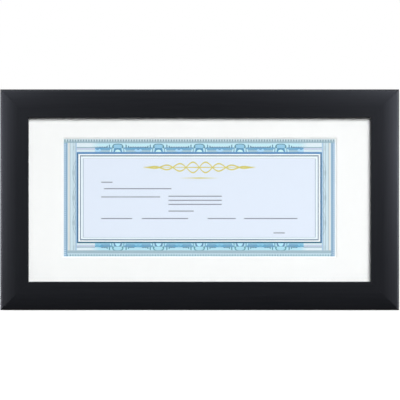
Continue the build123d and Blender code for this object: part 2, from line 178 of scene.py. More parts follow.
def srgb(*levels):
    """A colour written as on a screen, in red, green and blue from 0 to 255, as linear RGBA."""
    shares = [level / SCREEN_WHITE for level in levels]
    return (*(((share + CURVE_OFFSET) / (1 + CURVE_OFFSET)) ** CURVE_POWER for share in shares), 1.0)


# Modelling helpers


def pick(obj):
    """Makes an object the active one and the only one selected."""
    bpy.ops.object.select_all(action="DESELECT")
    bpy.context.view_layer.objects.active = obj
    obj.select_set(True)


def added(name):
    """The object just added, with its place in its mesh."""
    obj = bpy.context.active_object
    obj.name = name
    obj.data.name = name
    bpy.ops.object.transform_apply(location=True, rotation=True, scale=True)
    return obj


@contextmanager
def editing(obj):
    """Edit mode on one object."""
    pick(obj)
    bpy.ops.object.mode_set(mode="EDIT")
    yield
    bpy.ops.object.mode_set(mode="OBJECT")


def pick_edges(obj, test):
    """Selects the edges whose two ends both pass a test."""
    bpy.ops.mesh.select_mode(type="EDGE")
    bpy.ops.mesh.select_all(action="DESELECT")
    mesh = bmesh.from_edit_mesh(obj.data)
    for edge in mesh.edges:
        edge.select_set(all(test(vertex.co) for vertex in edge.verts))
    bmesh.update_edit_mesh(obj.data)


def pick_sharp_edges(obj):
    """Selects the edges at which the surface turns sharply."""
    bpy.ops.mesh.select_mode(type="EDGE")
    bpy.ops.mesh.select_all(action="DESELECT")
    mesh = bmesh.from_edit_mesh(obj.data)
    for edge in mesh.edges:
        edge.select_set(edge.calc_face_angle(0.0) > SHARP_ANGLE)
    bmesh.update_edit_mesh(obj.data)


def pick_faces(obj, test):
    """Selects the faces whose middle and normal pass a test."""
    bpy.ops.mesh.select_mode(type="FACE")
    bpy.ops.mesh.select_all(action="DESELECT")
    mesh = bmesh.from_edit_mesh(obj.data)
    for face in mesh.faces:
        face.select_set(test(face.calc_center_median(), face.normal))
    bmesh.update_edit_mesh(obj.data)


def pick_points(obj, test):
    """Selects the points that pass a test."""
    bpy.ops.mesh.select_mode(type="VERT")
    bpy.ops.mesh.select_all(action="DESELECT")
    mesh = bmesh.from_edit_mesh(obj.data)
    for vertex in mesh.verts:
        vertex.select_set(test(vertex.co))
    mesh.select_flush_mode()
    bmesh.update_edit_mesh(obj.data)


def extrude_edge(*move):
    """Draws the selected edge out into a face."""
    bpy.ops.mesh.extrude_edges_move(TRANSFORM_OT_translate={"value": move})


def extrude_faces(*move):
    """Draws the selected faces out."""
    bpy.ops.mesh.extrude_region_move(TRANSFORM_OT_translate={"value": move})


def round_edge(steps, angle, y, z):
    """Sweeps the selected edge about an axis along X."""
    bpy.ops.mesh.spin(steps=steps, angle=angle, center=(0, y, z), axis=(-1, 0, 0))


def close_up():
    """Merges doubles and turns the faces of the piece in hand outwards."""
    bpy.ops.mesh.select_all(action="SELECT")
    bpy.ops.mesh.remove_doubles(threshold=NEAR)
    bpy.ops.mesh.normals_make_consistent(inside=False)


def carve(obj, cutter, operation="DIFFERENCE"):
    """Cuts a piece with another, or joins it on, and removes the cutter."""
    modifier = obj.modifiers.new("carve", "BOOLEAN")
    modifier.object = cutter
    modifier.operation = operation
    modifier.solver = "EXACT"
    pick(obj)
    bpy.ops.object.modifier_apply(modifier=modifier.name)
    bpy.data.objects.remove(cutter)


def copied(name, node):
    """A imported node's shape as a new object, its loose triangles merged."""
    obj = bpy.data.objects.new(name, NODES[node].data.copy())
    obj.data.name = name
    bpy.context.scene.collection.objects.link(obj)
    with editing(obj):
        bpy.ops.mesh.select_all(action="SELECT")
        bpy.ops.mesh.remove_doubles(threshold=NEAR)
    return obj


def settle(obj, turn, place):
    """Turns a piece about Y, moves it to its place and puts both into its mesh."""
    pick(obj)
    obj.rotation_euler = (0, turn, 0)
    obj.location = place
    bpy.ops.object.transform_apply(location=True, rotation=True, scale=True)


def smooth(obj):
    """Smooth shading across shallow edges, which leaves flat faces flat."""
    pick(obj)
    bpy.ops.object.shade_smooth_by_angle(angle=SHADING_ANGLE)
    modifier = obj.modifiers.new("weighted", "WEIGHTED_NORMAL")
    modifier.keep_sharp = True
    bpy.ops.object.modifier_apply(modifier=modifier.name)


def clad(obj, material):
    """Gives a piece one finish all over."""
    obj.data.materials.clear()
    obj.data.materials.append(material)


# Material helpers


def fill(node, place, value):
    """Sets a node's input to a number or a colour, or links it to what another node gives."""
    if isinstance(value, Formula):
        value = value.socket
    if isinstance(value, bpy.types.NodeSocket):
        node.id_data.links.new(value, node.inputs[place])
    else:
        node.inputs[place].default_value = value


class Formula:
    """A number in a node tree. Arithmetic on it adds Math nodes, so that a pattern reads as a formula."""

    def __init__(self, tree, socket):
        self.tree = tree
        self.socket = socket

    def math(self, operation, *others, clamp=False):
        node = self.tree.nodes.new("ShaderNodeMath")
        node.operation = operation
        node.use_clamp = clamp
        for place, value in enumerate((self, *others)):
            fill(node, place, value)
        return Formula(self.tree, node.outputs["Value"])

    def __add__(self, other):
        return self.math("ADD", other)

    def __sub__(self, other):
        return self.math("SUBTRACT", other)

    def __rsub__(self, number):
        return self.math("MULTIPLY_ADD", -1.0, number)

    def __mul__(self, other):
        return self.math("MULTIPLY", other)

    def __abs__(self):
        return self.math("ABSOLUTE")


def most(first, *others):
    """The largest of several numbers: of distances, where all the shapes overlap."""
    for other in others:
        first = first.math("MAXIMUM", other)
    return first


def least(first, *others):
    """The smallest of several numbers: of distances, all the shapes together."""
    for other in others:
        first = first.math("MINIMUM", other)
    return first


def new_material(name):
    """A material, its node tree and its Principled shader."""
    made = bpy.data.materials.new(name)
    made.use_nodes = True
    return made, made.node_tree, made.node_tree.nodes["Principled BSDF"]


def placed(tree, stretch=(1, 1, 1), shift=(0, 0, 0)):
    """Object coordinates, stretched and then shifted."""
    coordinates = tree.nodes.new("ShaderNodeTexCoord")
    mapping = tree.nodes.new("ShaderNodeMapping")
    fill(mapping, "Vector", coordinates.outputs["Object"])
    fill(mapping, "Scale", stretch)
    fill(mapping, "Location", shift)
    return mapping.outputs["Vector"]


def noise(tree, vector, size, detail=3.0):
    """Noise whose patches are about this large."""
    node = tree.nodes.new("ShaderNodeTexNoise")
    fill(node, "Vector", vector)
    fill(node, "Scale", 1 / size)
    fill(node, "Detail", detail)
    return node.outputs["Fac"]


def shades(tree, factor, *stops):
    """Colours spread over a factor."""
    node = tree.nodes.new("ShaderNodeValToRGB")
    ramp = node.color_ramp
    while len(ramp.elements) < len(stops):
        ramp.elements.new(1.0)
    for element, (position, colour) in zip(ramp.elements, stops):
        element.position = position
        element.color = colour
    fill(node, "Fac", factor)
    return node.outputs["Color"]


def mottled(tree, factor, dark, pale):
    """Two colours in soft patches."""
    return shades(tree, factor, (DARK_STOP, dark), (PALE_STOP, pale))


def mixed(tree, factor, first, second, way="MIX"):
    """Two colours mixed by a factor."""
    node = tree.nodes.new("ShaderNodeMix")
    node.data_type = "RGBA"
    node.blend_type = way
    fill(node, "Factor", factor)
    fill(node, FIRST_COLOUR, first)
    fill(node, SECOND_COLOUR, second)
    return node.outputs[MIXED_COLOUR]


def layered(tree, factor, first, second):
    """Two shaders mixed by a factor."""
    node = tree.nodes.new("ShaderNodeMixShader")
    fill(node, "Fac", factor)
    fill(node, FIRST_SHADER, first)
    fill(node, SECOND_SHADER, second)
    return node.outputs["Shader"]


def spread(tree, factor, low, high):
    """A factor from 0 to 1 spread between two numbers."""
    node = tree.nodes.new("ShaderNodeMapRange")
    fill(node, "Value", factor)
    fill(node, "To Min", low)
    fill(node, "To Max", high)
    return node.outputs["Result"]


def emboss(tree, shader, height, depth, strength=1.0):
    """Raises the surface by a height from 0 to 1."""
    node = tree.nodes.new("ShaderNodeBump")
    fill(node, "Distance", depth)
    fill(node, "Strength", strength)
    fill(node, "Height", height)
    fill(shader, "Normal", node.outputs["Normal"])


# Materials


def black_lacquer(name, grain):
    """Satin black lacquer over wood, whose grain is stretched along one axis."""
    made, tree, shader = new_material(name)
    streaks = noise(tree, placed(tree, grain), size=1.2 * MM)
    dark = (0.0036, 0.0040, 0.0050, 1)
    pale = (0.0054, 0.0058, 0.0069, 1)
    fill(shader, "Base Color", mottled(tree, streaks, dark, pale))
    fill(shader, "Roughness", spread(tree, streaks, low=0.52, high=0.60))
    fill(shader, "Specular IOR Level", 0.06)
    fill(shader, "Specular Tint", (0.78, 0.83, 1.0, 1))
    emboss(tree, shader, streaks, depth=0.02 * MM, strength=0.4)
    return made


def bare_wood(name, grain):
    """Sawn pale wood, as on the back of a moulding."""
    made, tree, shader = new_material(name)
    vector = placed(tree, grain)
    rings = noise(tree, vector, size=3.0 * MM)
    fibres = noise(tree, vector, size=0.5 * MM)
    late_wood = (0.3, srgb(164, 124, 82))
    sap_wood = (0.5, srgb(196, 158, 112))
    early_wood = (0.75, srgb(212, 178, 134))
    fill(shader, "Base Color", shades(tree, rings, late_wood, sap_wood, early_wood))
    fill(shader, "Roughness", 0.75)
    emboss(tree, shader, fibres, depth=0.08 * MM)
    return made


def hardboard():
    """Brown pressed fibre board with a smooth face."""
    made, tree, shader = new_material("hardboard")
    vector = placed(tree)
    clouds = noise(tree, vector, size=18 * MM, detail=6.0)
    specks = noise(tree, vector, size=0.7 * MM, detail=4.0)
    brown = mottled(tree, clouds, srgb(112, 80, 54), srgb(139, 103, 72))
    dark_speck = (0.35, (0.2, 0.2, 0.2, 1))
    pale_speck = (0.65, (0.7, 0.7, 0.7, 1))
    speckle = shades(tree, specks, dark_speck, pale_speck)
    fill(shader, "Base Color", mixed(tree, factor=0.55, first=brown, second=speckle, way="OVERLAY"))
    fill(shader, "Roughness", spread(tree, specks, low=0.45, high=0.6))
    emboss(tree, shader, specks, depth=0.03 * MM, strength=0.6)
    return made


def nickel():
    """Nickel-plated sheet steel, faintly cloudy."""
    made, tree, shader = new_material("nickel_plate")
    clouds = noise(tree, placed(tree), size=3.0 * MM, detail=5.0)
    scratches = noise(tree, placed(tree, (1, 1, 0.05)), size=0.15 * MM)
    dull = (0.31, 0.305, 0.295, 1)
    bright = (0.41, 0.40, 0.385, 1)
    fill(shader, "Base Color", mottled(tree, clouds, dull, bright))
    fill(shader, "Metallic", 1.0)
    fill(shader, "Roughness", spread(tree, scratches, low=0.26, high=0.42))
    emboss(tree, shader, clouds, depth=0.02 * MM, strength=0.3)
    return made


def mat_paper():
    """White cotton board with a faint felt."""
    made, tree, shader = new_material("mat_paper")
    felt = noise(tree, placed(tree), size=0.6 * MM, detail=4.0)
    shaded = (0.945, 0.945, 0.94, 1)
    white = (0.97, 0.97, 0.968, 1)
    fill(shader, "Base Color", mottled(tree, felt, shaded, white))
    fill(shader, "Roughness", 0.95)
    fill(shader, "Specular IOR Level", 0.1)
    emboss(tree, shader, felt, depth=0.03 * MM, strength=0.5)
    return made


def brown_card():
    """Kraft card with fine fibres."""
    made, tree, shader = new_material("brown_card")
    fibres = noise(tree, placed(tree, (0.3, 1, 1)), size=0.8 * MM, detail=5.0)
    fill(shader, "Base Color", mottled(tree, fibres, srgb(160, 126, 88), srgb(188, 154, 112)))
    fill(shader, "Roughness", 0.9)
    return made


def clear_sheet():
    """Clear glazing: see-through, with a gloss on its outer faces that grows towards grazing sight."""
    made, tree, shader = new_material("clear_sheet")
    tree.nodes.remove(shader)
    through = tree.nodes.new("ShaderNodeBsdfTransparent")
    fill(through, "Color", (0.99, 0.995, 0.995, 1))
    gloss = tree.nodes.new("ShaderNodeBsdfAnisotropic")
    fill(gloss, "Roughness", 0.05)
    fresnel = tree.nodes.new("ShaderNodeFresnel")
    fill(fresnel, "IOR", 1.25)
    side = tree.nodes.new("ShaderNodeNewGeometry")
    outer = 1.0 - Formula(tree, side.outputs["Backfacing"])
    share = Formula(tree, fresnel.outputs["Fac"]) * outer
    glazed = layered(tree, share, through.outputs["BSDF"], gloss.outputs["BSDF"])
    fill(tree.nodes["Material Output"], "Surface", glazed)
    return made


# Certificate


# Inks of the border's upper, lower and side edges
UPPER_INKS = {
    "ground": srgb(190, 221, 233),
    "glow": srgb(199, 233, 243),
    "band": srgb(200, 219, 227),
    "tick": srgb(128, 152, 164),
    "strip": srgb(148, 177, 190),
    "ribbon": srgb(120, 176, 211),
    "foot": srgb(174, 206, 219),
    "wedge": srgb(104, 164, 204),
    "lobe": srgb(174, 215, 240),
    "heart": srgb(106, 160, 200),
    "leaf": srgb(204, 238, 246),
    "crest": srgb(100, 138, 162),
    "stroke": srgb(88, 134, 164),
    "halo": srgb(186, 224, 238),
    "cap": srgb(150, 200, 226),
    "outline": srgb(66, 120, 140),
    "leg": srgb(86, 148, 188),
    "opening": srgb(209, 243, 244),
    "line": srgb(84, 140, 190),
    "faint": srgb(218, 226, 236),
}
LOWER_INKS = {
    "ground": srgb(184, 226, 238),
    "glow": srgb(185, 226, 240),
    "band": srgb(196, 220, 231),
    "tick": srgb(116, 156, 172),
    "strip": srgb(162, 187, 200),
    "ribbon": srgb(120, 168, 204),
    "foot": srgb(146, 203, 228),
    "wedge": srgb(102, 166, 203),
    "lobe": srgb(138, 198, 226),
    "heart": srgb(118, 178, 208),
    "leaf": srgb(184, 228, 244),
    "crest": srgb(88, 132, 162),
    "stroke": srgb(92, 146, 166),
    "halo": srgb(172, 216, 233),
    "cap": srgb(174, 221, 236),
    "outline": srgb(72, 136, 152),
    "leg": srgb(98, 142, 178),
    "opening": srgb(184, 232, 251),
    "line": srgb(40, 98, 126),
    "faint": srgb(198, 212, 226),
}
SIDE_INKS = {
    "ground": srgb(207, 226, 235),
    "band": srgb(192, 213, 230),
    "tick": srgb(134, 170, 200),
    "strip": srgb(132, 167, 196),
    "beige": srgb(221, 223, 219),
    "thread": srgb(160, 178, 191),
    "scallop": srgb(203, 222, 232),
    "scallop_line": srgb(146, 170, 183),
    "inner": srgb(163, 197, 226),
    "line": srgb(62, 112, 152),
    "faint": srgb(178, 191, 208),
}

# Inks that the edges share, and the inks of the field
PAPER = srgb(247, 252, 255)
CORNER_PALE = srgb(225, 238, 245)
OUTER_MARGIN = srgb(252, 255, 255)
INNER_MARGIN = srgb(237, 248, 255)
FIELD = srgb(227, 235, 249)
GREY_LINE = srgb(120, 138, 156)
GOLD = srgb(214, 204, 104)
FORM_GREY = srgb(132, 138, 150)

# Edges of the border. Depths run inwards from the print's edge, and a band lies between two of them.
BORDER = 9.2  # depth of the border
UPPER_EDGE = {
    "inks": UPPER_INKS,
    "ticks": (0.0, 1.5),
    "strip": (1.5, 2.6),
    "shift": 0.0,  # of the ornament, inwards
    "crest_gap": 0.0,  # of a ribbon's crest, to each side of the ribbon's middle
    "rise": 2.0,  # of the opening in an arch
    "lines": ((9.1, 10.55), (11.4, 12.3), (13.4, 13.9)),
}
LOWER_EDGE = {
    "inks": LOWER_INKS,
    "ticks": (0.1, 1.4),
    "strip": (2.2, 4.3),
    "shift": 0.7,
    "crest_gap": 2.6,
    "rise": 2.9,
    "lines": ((9.45, 10.5), (11.4, 12.3), (13.35, 13.85)),
}
SIDE_TICKS = (0.0, 1.5)
SIDE_STRIP = (1.5, 2.6)
SIDE_LINES = ((9.3, 10.4), (11.5, 12.2), (13.6, 14.15))
SIDE_TICKS_REACH = 2.5  # depth to which the side's ticks run on through a lower corner
LONG_TICK_PITCH = 1.9
SHORT_TICK_PITCH = 1.507
TICK_SLOPE = 1 / 6  # of the pitch, which turns the wave into a distance

# Ornament of the long edges
GLOW_BAND = (3.2, 5.8)
ORNAMENT_RUN = 74.5  # ends of the arches and ribbons, from the middle
CORNER_PALE_BAND = (2.0, 5.8)
CORNER_FADE = 0.02  # slope of the pale band's end, which fades over a few millimetres
# Bands of the plain corners, with their inks
CORNER_BANDS = (
    ((5.6, 9.6), srgb(217, 233, 239)),
    ((6.2, 7.5), srgb(198, 208, 228)),
    ((5.6, 6.2), srgb(140, 170, 186)),
)

# Ribbons
RIBBON_BAND = (5.8, 9.6)
RIBBON_FOOT = 7.8  # depth at which the paler foot starts
ENGRAVING_PITCH = 0.6
ENGRAVING_SLOPE = 0.1
ENGRAVING_STRENGTH = 0.3
ENGRAVING_SWELL = 0.5
SWELLS_PER_ARCH = 3
WEDGE_REACH = 24.5  # half the wedge's width, if it ran on to the print's edge
WEDGE_SLOPE = 3.0
LOBE_DEPTH = 7.9
HEART_DEPTH = 6.8
CREST_BAND = (5.7, 6.3)
CREST_START = 7.4  # from an arch's middle
TOOTH_PITCH = 1.7
TOOTH_HEIGHT = 0.4

# Arches, whose widths are halves, from the arch's middle
ARCH_PITCH = 29.1
STROKE_PITCH = 1.7
STROKE_SLOPE = 0.3
STROKE_THINNING = 0.1  # leaves the strokes narrower than the gaps between them
FAN_SPAN = (5.0, 10.4)
FAN_TIPS = 0.9  # depth of the strokes' tips, in line with the arch's middle
FAN_SLOPE = 0.5
FAN_FOOT = 6.3
CAP_WIDTH = 3.7
CAP_HEIGHT = 2.75
CAP_BASE = 6.2
CAP_FOOT = 6.3
CAP_SLOPE = 1.2
CAP_OUTLINE = 0.3
CAP_OUTLINE_FOOT = 6.5
CAP_SHADE_START = 2.8
CAP_SHADE_DEPTH = 5.1
HALO = 0.7  # round the cap
HALO_WIDTH = 4.0
HALO_BAND = (6.2, 9.3)
LEG_BAND = (6.2, 9.6)
LEG_WIDTH = 1.65
LEG_SPLAY = 0.15
LEG_LINE_BAND = (6.3, 9.3)
LEAF_BAND = (7.1, 9.2)
OPENING_WIDTH = 2.0976
OPENING_BASE = 9.4
OPENING_FOOT = 9.6

# Scallops and threads of the side edges. The sizes of lines and knots are halves.
SCALLOP_PITCH = 17.8
SCALLOP_COUNT = 3
SCALLOP_DEPTH = 6.3
SCALLOP_RADIUS = 18.0
SCALLOP_LINES = (0.2, 1.6)
SCALLOP_LINE_WIDTH = 0.25
KNOT_LENGTH = 2.236
KNOT_DEPTH = 0.9
KNOT_WIDTH = 0.5
THREAD_BANDS = ((4.3, 4.75), (6.5, 6.9), (7.9, 8.3))
GAP_BAND = (7.1, 7.65)
BEIGE_BAND = (3.1, 4.2)
INNER_BAND = (8.5, 9.4)

# Gold rules, whose lengths and widths are halves
WOVEN_RULE_HEIGHT = 21.6
WOVEN_RULE_LENGTH = 38.0
WOVEN_RULE_TWIST = 19.0  # length of a whole twist
WOVEN_RULE_SWING = 4.2
STRAND_WIDTH = 0.5
CORE_WIDTH = 0.4
PLAIN_RULE_HEIGHT = 14.0
PLAIN_RULE_LENGTH = 14.0
PLAIN_RULE_WIDTH = 0.5

# Blank ruled lines: the height of each row, with the left and right ends of its lines
RULED_LINE_WIDTH = 0.35  # half of it
RULED_ROWS = {
    11.0: [(-70, -62)],
    6.4: [(-68, -20)],
    1.0: [(-22, 16)],
    0.5: [(-70, -28)],
    -1.9: [(-22, 16)],
    -4.8: [(-22, 16)],
    -9.6: [(-22, -4)],
    -14.9: [(-70, -48), (-41, -8), (6, 26), (32, 70)],
    -25.2: [(53, 61)],
}


class Print:
    """A sheet's colour, printed in layers over the paper."""

    def __init__(self, tree, paper):
        self.tree = tree
        self.colour = paper

    def ink(self, distance, colour, strength=1.0):
        """Prints one colour where a distance is below zero."""
        mask = distance.math("MULTIPLY_ADD", -1 / INK_EDGE, 0.5, clamp=True) * strength
        self.colour = mixed(self.tree, mask, self.colour, colour)


def repeated(value, pitch):
    """Distance from the nearest of a row of places, the first of them at 0."""
    return value.math("WRAP", -pitch / 2, pitch / 2)


def wave(value, pitch):
    """A cosine with one wave to each pitch."""
    return (value * (2 * pi / pitch)).math("COSINE")


def between(value, low, high):
    """Distance from a band of values, below zero inside it."""
    return abs(value - (low + high) / 2) - (high - low) / 2


def oval(x, y, width, height, slope):
    """Distance from an oval of these half sizes, below zero inside it. A steep slope gives a sharp edge."""
    return (x * x * (1 / width**2) + y * y * (1 / height**2) - 1.0) * slope


def splayed(near, inward, start, splay, width):
    """Distance from a line beside an arch, which leans away as it goes inwards."""
    return abs(near - inward * splay - start) - width


def border_band(sheet, along, inward, inks, pitch, ticks, strip):
    """Engraved ticks round the sheet's edge, and the strip inside them."""
    sheet.ink(inward - strip[1], inks["band"])
    comb = wave(along, pitch) * (pitch * TICK_SLOPE)
    sheet.ink(most(comb, between(inward, *ticks)), inks["tick"])
    sheet.ink(between(inward, *strip), inks["strip"])


def ribbon(sheet, near, inward, inks, crest_gap):
    """Ribbon between two arches: engraved lines, a wedge, a pale lobe with a heart, and a toothed crest."""
    far = ARCH_PITCH / 2 - near
    body = between(inward, *RIBBON_BAND)
    sheet.ink(body, inks["ribbon"])
    sheet.ink(most(body, RIBBON_FOOT - inward), inks["foot"])
    swell = wave(near, ARCH_PITCH / SWELLS_PER_ARCH) * ENGRAVING_SWELL
    engraving = wave(inward + swell, ENGRAVING_PITCH) * ENGRAVING_SLOPE
    sheet.ink(most(engraving, body), inks["stroke"], ENGRAVING_STRENGTH)
    sheet.ink(most(far + inward * WEDGE_SLOPE - WEDGE_REACH, body), inks["wedge"])
    sheet.ink(oval(far, inward - LOBE_DEPTH, width=2.702, height=1.095, slope=0.7), inks["lobe"])
    sheet.ink(oval(far, inward - HEART_DEPTH, width=1.14, height=0.894, slope=0.5), inks["heart"])
    teeth = abs((near * (pi / TOOTH_PITCH)).math("SINE")) * TOOTH_HEIGHT
    crest = between(inward + teeth, *CREST_BAND)
    sheet.ink(most(crest, CREST_START - near, crest_gap - far), inks["crest"])


def arch(sheet, near, inward, inks, rise):
    """A round-shouldered cap over two legs with an opening between them, strokes and leaves beside them."""
    strokes = (wave(near, STROKE_PITCH) + STROKE_THINNING) * STROKE_SLOPE
    fan = most(between(near, *FAN_SPAN), near * FAN_SLOPE - inward + FAN_TIPS, inward - FAN_FOOT)
    sheet.ink(most(strokes, fan), inks["stroke"])
    width = near * (1 / CAP_WIDTH)
    height = (CAP_BASE - inward) * (1 / CAP_HEIGHT)
    dome = (width * width * width + height * height * height - 1.0) * CAP_SLOPE
    cap = most(dome, inward - CAP_FOOT)
    skirt = most(near - HALO_WIDTH, between(inward, *HALO_BAND))
    sheet.ink(least(cap - HALO, skirt), inks["halo"])
    leg_line = splayed(near, inward, start=3.4, splay=0.12, width=0.2)
    sheet.ink(most(leg_line, between(inward, *LEG_LINE_BAND)), inks["stroke"], strength=0.8)
    leaf = splayed(near, inward, start=3.55, splay=0.2, width=0.42)
    sheet.ink(most(leaf, between(inward, *LEAF_BAND)), inks["leaf"])
    legs = most(near - inward * LEG_SPLAY - LEG_WIDTH, between(inward, *LEG_BAND))
    sheet.ink(legs, inks["leg"])
    opening = oval(near, OPENING_BASE - inward, OPENING_WIDTH, rise, slope=0.8)
    sheet.ink(most(opening, inward - OPENING_FOOT), inks["opening"])
    sheet.ink(cap, inks["cap"])
    sheet.ink(most(abs(dome) - CAP_OUTLINE, inward - CAP_OUTLINE_FOOT), inks["outline"], strength=0.9)
    sheet.ink(most(cap, CAP_SHADE_START - near, CAP_SHADE_DEPTH - inward), inks["outline"], strength=0.7)


def plain_corners(sheet, along, inward):
    """Pale stretches at both ends of a long edge, with faint lines."""
    end = ORNAMENT_RUN - abs(along)
    sheet.ink(most(end * CORNER_FADE, between(inward, *CORNER_PALE_BAND)), CORNER_PALE)
    for band, colour in CORNER_BANDS:
        sheet.ink(most(end, between(inward, *band)), colour)


def frame_lines(sheet, inward, inks, line, grey, faint):
    """Ruled lines between the border and the open field."""
    sheet.ink(line[0] - inward, OUTER_MARGIN)
    sheet.ink(grey[0] - inward, INNER_MARGIN)
    sheet.ink(faint[0] - inward, FIELD)
    sheet.ink(between(inward, *line), inks["line"])
    sheet.ink(between(inward, *grey), GREY_LINE)
    sheet.ink(between(inward, *faint), inks["faint"])


def long_edge(tree, across, inward, inks, ticks, strip, shift, crest_gap, rise, lines):
    """Upper or lower edge: ticks, five arches with ribbons between them, and ruled lines."""
    sheet = Print(tree, inks["ground"])
    ornament = inward - shift
    near = abs(repeated(across, ARCH_PITCH))
    sheet.ink(between(ornament, *GLOW_BAND), inks["glow"])
    ribbon(sheet, near, ornament, inks, crest_gap)
    arch(sheet, near, ornament, inks, rise)
    plain_corners(sheet, across, ornament)
    border_band(sheet, across, inward, inks, LONG_TICK_PITCH, ticks, strip)
    frame_lines(sheet, inward, inks, *lines)
    return sheet.colour


def scallops(sheet, up, inward, inks):
    """Three shallow scallops with double lines, hung in a chain from the ruled line."""
    along = up - (PRINT_TOP + PRINT_BOTTOM) / 2
    run = abs(along) - SCALLOP_COUNT / 2 * SCALLOP_PITCH
    near = repeated(along, SCALLOP_PITCH)
    bow = inward - near * near * (1 / (2 * SCALLOP_RADIUS)) - SCALLOP_DEPTH
    sheet.ink(most(bow * -1.0, run), inks["scallop"])
    for depth in SCALLOP_LINES:
        sheet.ink(most(abs(bow - depth) - SCALLOP_LINE_WIDTH, run), inks["scallop_line"])
    knot = near * near * (1 / KNOT_LENGTH**2) + abs(bow - KNOT_DEPTH) * (1 / KNOT_WIDTH) - 1.0
    sheet.ink(knot, inks["scallop_line"], strength=0.6)


def short_edge(tree, up, inward, inks):
    """Left or right edge: ticks, fine lines, a chain of scallops and ruled lines."""
    sheet = Print(tree, inks["ground"])
    scallops(sheet, up, inward, inks)
    sheet.ink(between(inward, *GAP_BAND), inks["ground"], strength=0.7)
    for band in THREAD_BANDS:
        sheet.ink(between(inward, *band), inks["thread"], strength=0.8)
    sheet.ink(between(inward, *BEIGE_BAND), inks["beige"])
    sheet.ink(between(inward, *INNER_BAND), inks["inner"])
    border_band(sheet, up, inward, inks, SHORT_TICK_PITCH, SIDE_TICKS, SIDE_STRIP)
    frame_lines(sheet, inward, inks, *SIDE_LINES)
    return sheet.colour


def gold_flourish(sheet, across, up):
    """A woven gold rule with a smaller plain rule below it."""
    taper = 1.0 - abs(across) * (1 / WOVEN_RULE_LENGTH)
    past_end = taper * -1.0
    height = up - WOVEN_RULE_HEIGHT
    twist = (across * (2 * pi / WOVEN_RULE_TWIST)).math("SINE") * taper * WOVEN_RULE_SWING
    for strand in (twist, twist * -1.0):
        sheet.ink(most(abs(height - strand) - STRAND_WIDTH, past_end), GOLD)
    sheet.ink(most(abs(height) - taper * CORE_WIDTH, past_end), GOLD)
    plain_taper = 1.0 - abs(across) * (1 / PLAIN_RULE_LENGTH)
    sheet.ink(abs(up - PLAIN_RULE_HEIGHT) - plain_taper * PLAIN_RULE_WIDTH, GOLD)


def blank_lines(sheet, across, up):
    """Thin grey lines for what a blank form leaves open."""
    for height, lines in RULED_ROWS.items():
        for ends in lines:
            line = most(between(across, *ends), abs(up - height) - RULED_LINE_WIDTH)
            sheet.ink(line, FORM_GREY)


def printed_sheet():
    """Pale blue certificate with an engraved border, a gold rule and blank lines."""
    made, tree, shader = new_material("printed_sheet")
    low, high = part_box("certificate")
    centre = (low + high) / 2 * PER_METRE
    split = tree.nodes.new("ShaderNodeSeparateXYZ")
    fill(split, "Vector", placed(tree, (PER_METRE,) * 3, -centre))
    across = Formula(tree, split.outputs["X"]) - PRINT_SHIFT
    up = Formula(tree, split.outputs["Z"])
    from_side = PRINT_WIDTH / 2 - abs(across)
    from_top = PRINT_TOP - up
    from_bottom = up - PRINT_BOTTOM
    from_end = least(from_top, from_bottom)
    past_upper_strip = UPPER_EDGE["strip"][1] - from_top
    past_lower_strip = LOWER_EDGE["strip"][1] - from_bottom
    side = most(from_side - BORDER, past_upper_strip, past_lower_strip)
    side_ticks = most(from_side - SIDE_TICKS_REACH, past_upper_strip)
    mitres = most(from_side - from_end, BORDER - from_end)

    sheet = Print(tree, long_edge(tree, across, from_top, **UPPER_EDGE))
    sheet.ink(from_bottom - from_top, long_edge(tree, across, from_bottom, **LOWER_EDGE))
    sheet.ink(least(side, side_ticks, mitres), short_edge(tree, up, from_side, SIDE_INKS))
    sheet.ink(least(from_side, from_end), PAPER)
    gold_flourish(sheet, across, up)
    blank_lines(sheet, across, up)
    fill(shader, "Base Color", sheet.colour)
    fibres = noise(tree, placed(tree), size=0.4 * MM, detail=4.0)
    fill(shader, "Roughness", spread(tree, fibres, low=0.74, high=0.86))
    fill(shader, "Specular IOR Level", 0.15)
    emboss(tree, shader, fibres, depth=0.01 * MM, strength=0.3)
    return made


# Moulding


def v_nail_cutter():
    """The V-nails' shape, reaching a little behind the rails."""
    cutter = copied("v_nail_cutter", "corner_v_nails")
    with editing(cutter):
        pick_faces(cutter, lambda middle, normal: middle.y > BACK - NEAR)
        bpy.ops.transform.translate(value=(0, POCKET_DEPTH, 0))
    return cutter


